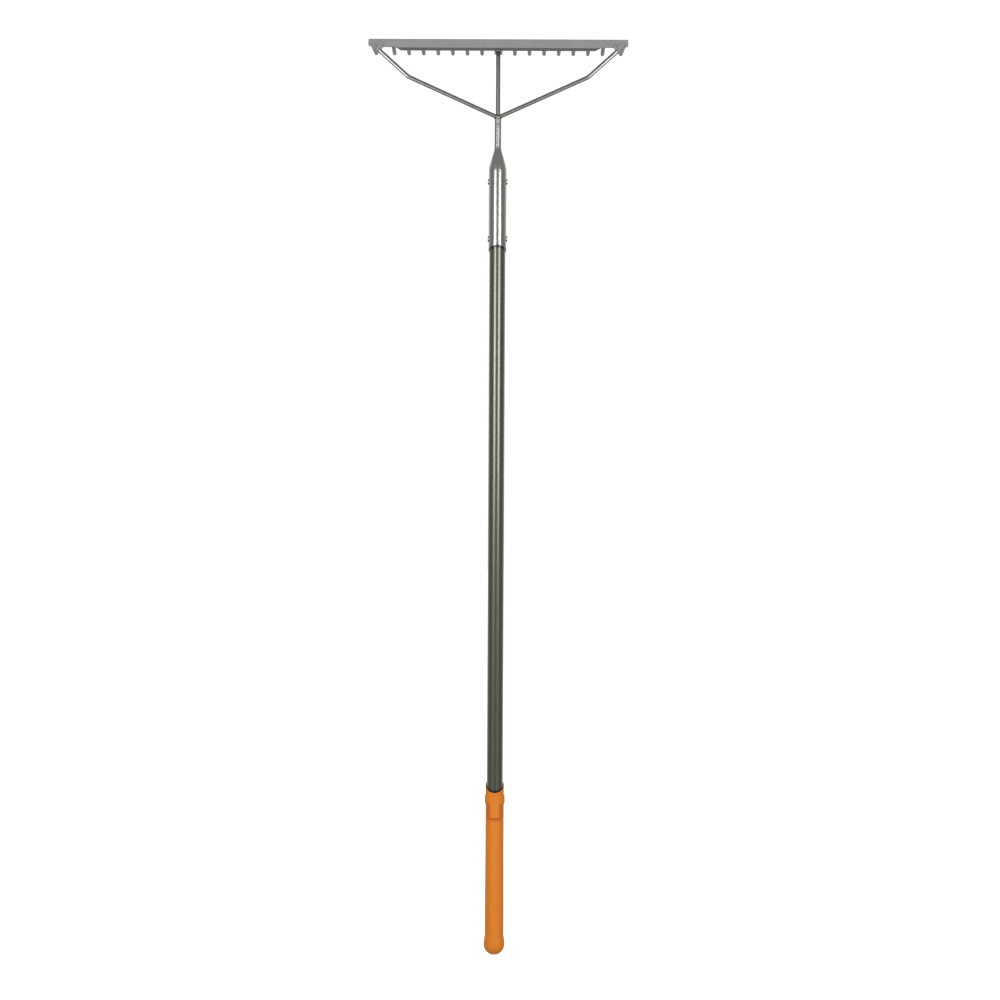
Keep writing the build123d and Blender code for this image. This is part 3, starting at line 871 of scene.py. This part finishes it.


def head_coating():
    """Silver-grey coating with a fine grain; the down-facing ground bevel and pins are darkened with painted
    shade.
    """
    finish = Finish("head_coating", srgb(130, 130, 130), 0.45, 0.25)
    mottle = finish.noise(38.0, detail=5.0)
    speckle = finish.noise(1500.0, detail=2.0)
    scuff = finish.noise(420.0, ALONG_BAR, 3.0).above(0.66, 0.08)
    tone = finish.mix(mottle, srgb(113, 113, 113), srgb(127, 127, 126))
    grained = finish.mix(speckle.above(0.62, 0.1) * 0.35, tone, srgb(96, 96, 96))
    scuffed = finish.mix(scuff * 0.2, grained, srgb(170, 170, 168))
    across, depth, height = finish.axis("X").size(), finish.axis("Y"), finish.axis("Z")
    # painted shade: the ground bevel and the pins face down, so their colour is darkened
    bevel = across.short_of(BEVEL_END, 2.0) * height.short_of(BAR_BOTTOM + BEVEL, 0.8)
    bevel = bevel * depth.short_of(BAR_BACK - 0.2, 0.4)
    pins = depth.past(BAR_BACK + 0.5, 1.0) * across.past(PINS_FROM, 4.0) * across.short_of(PINS_TO, 4.0)
    shaded_bevel_and_pins = finish.mix((bevel + pins) * 0.85, scuffed, srgb(84, 84, 83))
    ears = across.past(EARS_FROM, 10.0) * height.short_of(EARS_TOP, 14.0)
    spatter = ears * finish.noise(620.0, detail=3.0).above(0.56, 0.06)
    finish.set("Base Color", finish.mix(spatter * 0.75, shaded_bevel_and_pins, srgb(70, 69, 67)))
    finish.set("Roughness", 0.4 + mottle * 0.14 - scuff * 0.08)
    finish.bump(speckle, 0.00008, 0.6)
    return finish.material


def drawn_steel():
    """Satin bar steel; the middle rod keeps some mill scale, and its top just under the bar is painted dark
    as the bar's shadow.
    """
    finish = Finish("drawn_steel", srgb(118, 118, 115), 0.25, 0.92)
    mottle = finish.noise(60.0)
    grain = finish.noise(900.0, detail=3.0)
    tone = finish.mix(mottle, srgb(118, 118, 114), srgb(144, 144, 140))
    height = finish.axis("Z")
    middle = finish.axis("X").size().short_of(ROD_RADIUS + 0.5, 1.0) * height.past(TANG_FROM, 4.0)
    scaled = finish.mix(middle * 0.8, tone, srgb(98, 97, 94))
    # painted shadow: the middle rod's top, just under the bar, is darkened as the bar's shadow
    shadow_under_bar = height.past(TANG_SHADOW_FROM, 8.0) * middle
    finish.set("Base Color", finish.mix(shadow_under_bar * 0.85, scaled, srgb(38, 35, 33)))
    finish.set("Roughness", 0.22 + grain * 0.12 + shadow_under_bar * 0.1)
    finish.bump(grain, 0.00003, 0.1)
    return finish.material


def brushed_socket():
    """Satin steel brushed along the handle; from the flare up it is rougher where drawn down, and darkened
    with painted shade.
    """
    finish = Finish("brushed_socket", srgb(160, 160, 155), 0.24, 0.95)
    lines = finish.noise(1100.0, ALONG_HANDLE, 2.0)
    broad = finish.noise(34.0, (1.0, 1.0, 0.3))
    drawn_down_and_shade = finish.axis("Z").past(DRAWN_DOWN_AND_SHADE_FROM, 20.0)
    tone = finish.mix(lines, srgb(136, 136, 132), srgb(162, 162, 157))
    # painted shade: the base colour darkens from the flare up; the roughness rise is the duller drawn finish
    finish.set("Base Color", finish.mix(drawn_down_and_shade * 0.3, tone, srgb(128, 128, 124)))
    finish.set("Roughness", 0.2 + lines * 0.04 + broad * 0.04 + drawn_down_and_shade * 0.03)
    finish.bump(lines, 0.00002, 0.07)
    return finish.material


def weld_metal():
    """Bare weld with darker heat-tinted patches."""
    finish = Finish("weld_metal", srgb(112, 110, 106), 0.38, 0.85)
    mottle = finish.noise(520.0)
    tint = finish.noise(160.0).above(0.55, 0.12)
    tone = finish.mix(mottle, srgb(84, 82, 78), srgb(146, 146, 142))
    finish.set("Base Color", finish.mix(tint * 0.5, tone, srgb(70, 62, 54)))
    finish.set("Roughness", 0.3 + mottle * 0.2)
    finish.bump(mottle, 0.00012, 0.6)
    return finish.material


def rivet_metal():
    """Pressed steel heads, with a painted highlight across the middle and near-black painted shade towards
    the edge.
    """
    finish = Finish("rivet_metal", srgb(205, 205, 200), 0.22, 0.95)
    mottle = finish.noise(700.0)
    tone = finish.mix(mottle, srgb(196, 196, 192), srgb(224, 224, 220))
    painted_highlight_band = 0.0
    for height in RIVET_HEIGHTS:
        away = (finish.axis("Z") - height * MM).size()
        painted_highlight_band = painted_highlight_band + away.short_of(HIGHLIGHT_BAND_HALF_HEIGHT, 1.4)
    # painted light: the band across each head's middle is a painted highlight, the rest is painted shade
    finish.set("Base Color", finish.mix(painted_highlight_band, srgb(44, 43, 41), tone))
    finish.set("Roughness", 0.36 - painted_highlight_band * 0.17 + mottle * 0.1)
    finish.bump(mottle, 0.00004, 0.4)
    return finish.material


def anodised_tube():
    """Dark olive-grey anodised tube, drawn along its length, with a few handling marks and painted shadow
    below the socket's rim and above the grip's mouth.
    """
    finish = Finish("anodised_tube", srgb(84, 84, 76), 0.28, 0.7, Coat_Weight=0.7, Coat_Roughness=0.22)
    lines = finish.noise(1700.0, ALONG_HANDLE, 3.0)
    mottle = finish.noise(16.0, (1.0, 1.0, 0.4))
    mark = finish.noise(260.0, (1.0, 1.0, 0.12), 2.0).above(0.72, 0.05)
    tone = finish.mix(lines, srgb(64, 63, 55), srgb(86, 85, 76))
    marked = finish.mix(mark * 0.25, tone, srgb(112, 112, 104))
    depth, height = finish.axis("Y"), finish.axis("Z")
    # painted shadow: near-black just below the socket's rim and just above the grip's mouth
    shadow_under_rim = (height + depth * RIM_SLOPE).past(RIM_Z - SHADOW_UNDER_RIM, 5.0)
    shadow_over_mouth = (height - depth * MOUTH_SLOPE).short_of(MOUTH_Z + SHADOW_OVER_MOUTH, 5.0)
    finish.set("Base Color", finish.mix(shadow_under_rim + shadow_over_mouth, marked, srgb(20, 20, 18)))
    finish.set("Roughness", 0.25 + lines * 0.08 + mottle * 0.05)
    finish.bump(lines, 0.00002, 0.2)
    return finish.material


def orange_grip():
    """Soft moulded plastic with a fine grain, paler where rubbed, with painted shade beside the tongue and a
    painted shadow below it.
    """
    finish = Finish("orange_grip", srgb(214, 116, 34), 0.5, Specular_IOR_Level=0.35)
    grain = finish.noise(1900.0, detail=2.0)
    mottle = finish.noise(24.0)
    rubbed = finish.noise(90.0, (1.0, 1.0, 0.35), 3.0).above(0.62, 0.1)
    tone = finish.mix(mottle, srgb(192, 106, 5), srgb(199, 114, 8))
    worn = finish.mix(rubbed * 0.15, tone, srgb(208, 126, 28))
    across, height = finish.axis("X").size(), finish.axis("Z")
    # painted shade in the flanks beside the tongue and painted shadow below its lower ledge
    beside = across.past(TONGUE_HALF_WIDTH + 0.2, 5.0) * across.short_of(TONGUE_HALF_WIDTH + 7.5, 6.0)
    beside = beside * height.past(TONGUE_BOTTOM - 1.0, 4.0) * height.short_of(COLLAR_BOTTOM, 9.0)
    below = across.short_of(TONGUE_HALF_WIDTH + 4.5, 9.0)
    below = below * height.past(TONGUE_BOTTOM - 7.0, 7.0) * height.short_of(TONGUE_BOTTOM + 0.5, 3.0)
    painted_recess_shade = (beside * 0.5 + below * 0.62) * finish.axis("Y").short_of(0.0, 6.0)
    finish.set("Base Color", finish.mix(painted_recess_shade, worn, srgb(168, 74, 4)))
    finish.set("Roughness", 0.5 + grain * 0.16 - rubbed * 0.04)
    finish.bump(grain, 0.00006, 0.6)
    return finish.material


def black_plug():
    """Plain black plastic of the plugs inside the tube."""
    finish = Finish("black_plug", srgb(28, 28, 28), 0.6)
    grain = finish.noise(800.0)
    finish.set("Base Color", finish.mix(grain, srgb(22, 22, 22), srgb(34, 34, 33)))
    finish.set("Roughness", 0.5 + grain * 0.2)
    return finish.material


FINISHES = {
    "head_paint": head_coating(),
    "rod_steel": drawn_steel(),
    "socket_steel": brushed_socket(),
    "weld_steel": weld_metal(),
    "rivet_steel": rivet_metal(),
    "tube_aluminium": anodised_tube(),
    "grip_orange": orange_grip(),
    "plug_black": black_plug(),
}


def finish_cad_nodes():
    """Every CAD node takes the finish of its own slot."""
    for part in frame["record"]["subparts"]:
        mesh = frame["nodes"][part["node"]].data
        mesh.materials.clear()
        mesh.materials.append(FINISHES[part["material_slot"]])


finish_cad_nodes()
make_tube()
make_grip()
make_socket()
make_rivets()
make_bow()
make_bar()
make_special_tines()
make_round_tines()
make_welds()


# ---------------------------------------------------------------- studio
FLOOR_HALF = 40.0             # metres
FLOOR_GLOW = 0.55


def make_stage():
    """Wide pale floor; it lights nothing by itself."""
    corners = [(x * FLOOR_HALF, y * FLOOR_HALF, 0) for x, y in ((-1, -1), (1, -1), (1, 1), (-1, 1))]
    mesh = bpy.data.meshes.new("studio_floor")
    mesh.from_pydata(corners, [], [(0, 1, 2, 3)])
    paper = Finish("studio_paper", srgb(250, 250, 250), 0.9,
                   Emission_Color=(1, 1, 1, 1), Emission_Strength=FLOOR_GLOW)
    mesh.materials.append(paper.material)
    floor = bpy.data.objects.new("studio_floor", mesh)
    floor.visible_glossy = False
    floor.visible_diffuse = False
    floor.visible_shadow = False
    bpy.context.collection.objects.link(floor)


def add_area_light(name, place, target, size, watts):
    data = bpy.data.lights.new(name, "AREA")
    data.shape = "RECTANGLE"
    data.size, data.size_y = size
    data.energy = watts
    light = bpy.data.objects.new(name, data)
    light.location = place
    light.rotation_euler = (Vector(target) - Vector(place)).to_track_quat("-Z", "Y").to_euler()
    bpy.context.collection.objects.link(light)


STRIP_DISTANCE = 2.5
STRIP_TURN = math.radians(30)
STRIP_SIZE = (0.85, 0.82)
STRIP_MIDDLE = 1.3
STRIP_WATTS = 29
ROOM_RISE = (-0.7, 0.5, 0.14, 0.5)        # direction's Z from and to, light from and to
ROOM_WALL = (0.1, 0.6, 0.0, 0.7)          # direction's Y from and to, light from and to
ROOM_BOUNCE = (0.955, 0.99, 0.0, 5.5)     # closeness to the low bounce from and to, light from and to
BOUNCE_FROM = (0.57, -0.68, -0.46)


def add_dome():
    """Soft room light: weaker from below, a bright wall behind the rake, and a low bounce on either side."""
    world = bpy.data.worlds.new("soft_room")
    world.use_nodes = True
    tree = world.node_tree
    background = tree.nodes["Background"]

    def node(kind, operation, *inputs):
        made = tree.nodes.new(kind)
        if operation:
            made.operation = operation
        for target, value in zip(made.inputs, inputs):
            connect(tree, target, value)
        return made.outputs

    toward = node("ShaderNodeTexCoord", None)["Generated"]
    x, y, z = node("ShaderNodeSeparateXYZ", None, toward)
    either = node("ShaderNodeCombineXYZ", None, node("ShaderNodeMath", "ABSOLUTE", x)[0], y, z)[0]
    close = node("ShaderNodeVectorMath", "DOT_PRODUCT", either, Vector(BOUNCE_FROM).normalized())["Value"]
    light = node("ShaderNodeMapRange", None, z, *ROOM_RISE)[0]
    for value, limits in ((y, ROOM_WALL), (close, ROOM_BOUNCE)):
        light = node("ShaderNodeMath", "ADD", light, node("ShaderNodeMapRange", None, value, *limits)[0])[0]
    tree.links.new(light, background.inputs["Strength"])
    background.inputs["Color"].default_value = (1.0, 1.0, 1.0, 1.0)
    bpy.context.scene.world = world


def make_lights():
    """Two strips beside the camera, which end where the light fades down the tube."""
    for name, side in (("left", -1), ("right", 1)):
        x, y = side * STRIP_DISTANCE * math.sin(STRIP_TURN), -STRIP_DISTANCE * math.cos(STRIP_TURN)
        add_area_light("strip_" + name, (x, y, STRIP_MIDDLE), (0, 0, STRIP_MIDDLE), STRIP_SIZE, STRIP_WATTS)
    add_dome()
    bpy.context.scene.view_settings.view_transform = "Standard"


CAMERA_PLACE = (0.0352, -5.8, 0.8042)
CAMERA_YAW, CAMERA_PITCH, CAMERA_ROLL = (math.radians(a) for a in (0.278, 0.267, 0.276))
CAMERA_LENS = 114.1


def make_camera():
    data = bpy.data.cameras.new("camera")
    data.sensor_width = 36.0
    data.lens = CAMERA_LENS
    camera = bpy.data.objects.new("camera", data)
    aim = Matrix.Rotation(CAMERA_YAW, 4, "Z") @ Matrix.Rotation(math.radians(90) + CAMERA_PITCH, 4, "X")
    camera.matrix_world = Matrix.Translation(CAMERA_PLACE) @ aim @ Matrix.Rotation(CAMERA_ROLL, 4, "Z")
    bpy.context.collection.objects.link(camera)
    bpy.context.scene.camera = camera


make_stage()
make_lights()
make_camera()
